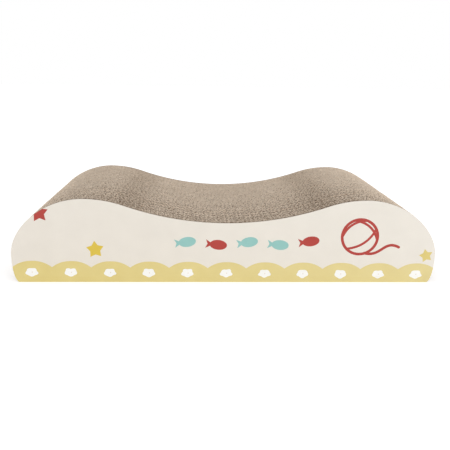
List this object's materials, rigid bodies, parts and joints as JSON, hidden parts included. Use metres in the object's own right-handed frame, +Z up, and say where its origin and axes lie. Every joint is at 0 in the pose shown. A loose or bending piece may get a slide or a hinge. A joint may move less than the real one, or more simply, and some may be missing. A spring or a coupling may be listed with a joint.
{
  "type": "cat scratcher",
  "caption": "Sofa-shaped cat scratcher: stacked die-cut corrugated sheets with a wave-shaped top and rounded ends, closed by a printed side panel at the front and the back.",
  "frame": {"origin": "centre of the flat underside", "axes": "+X along the length, +Y through the stack from the front panel to the back panel, +Z up"},
  "size_m": [0.44, 0.22, 0.088],
  "materials": {
    "kraft_corrugated": "matte",
    "grey_board": "matte",
    "printed_card": "satin"
  },
  "bodies": {
    "root": {"front_face_sheet": "printed_card", "front_side_board": "grey_board", "core_sheet_01": "kraft_corrugated", "core_sheet_02": "kraft_corrugated", "core_sheet_03": "kraft_corrugated", "core_sheet_04": "kraft_corrugated", "core_sheet_05": "kraft_corrugated", "core_sheet_06": "kraft_corrugated", "core_sheet_07": "kraft_corrugated", "core_sheet_08": "kraft_corrugated", "core_sheet_09": "kraft_corrugated", "core_sheet_10": "kraft_corrugated", "core_sheet_11": "kraft_corrugated", "core_sheet_12": "kraft_corrugated", "core_sheet_13": "kraft_corrugated", "core_sheet_14": "kraft_corrugated", "core_sheet_15": "kraft_corrugated", "core_sheet_16": "kraft_corrugated", "core_sheet_17": "kraft_corrugated", "core_sheet_18": "kraft_corrugated", "core_sheet_19": "kraft_corrugated", "core_sheet_20": "kraft_corrugated", "core_sheet_21": "kraft_corrugated", "core_sheet_22": "kraft_corrugated", "core_sheet_23": "kraft_corrugated", "core_sheet_24": "kraft_corrugated", "core_sheet_25": "kraft_corrugated", "core_sheet_26": "kraft_corrugated", "core_sheet_27": "kraft_corrugated", "core_sheet_28": "kraft_corrugated", "core_sheet_29": "kraft_corrugated", "core_sheet_30": "kraft_corrugated", "core_sheet_31": "kraft_corrugated", "core_sheet_32": "kraft_corrugated", "core_sheet_33": "kraft_corrugated", "core_sheet_34": "kraft_corrugated", "core_sheet_35": "kraft_corrugated", "core_sheet_36": "kraft_corrugated", "core_sheet_37": "kraft_corrugated", "core_sheet_38": "kraft_corrugated", "core_sheet_39": "kraft_corrugated", "core_sheet_40": "kraft_corrugated", "core_sheet_41": "kraft_corrugated", "core_sheet_42": "kraft_corrugated", "core_sheet_43": "kraft_corrugated", "back_side_board": "grey_board", "back_face_sheet": "printed_card"}
  },
  "joints": []
}
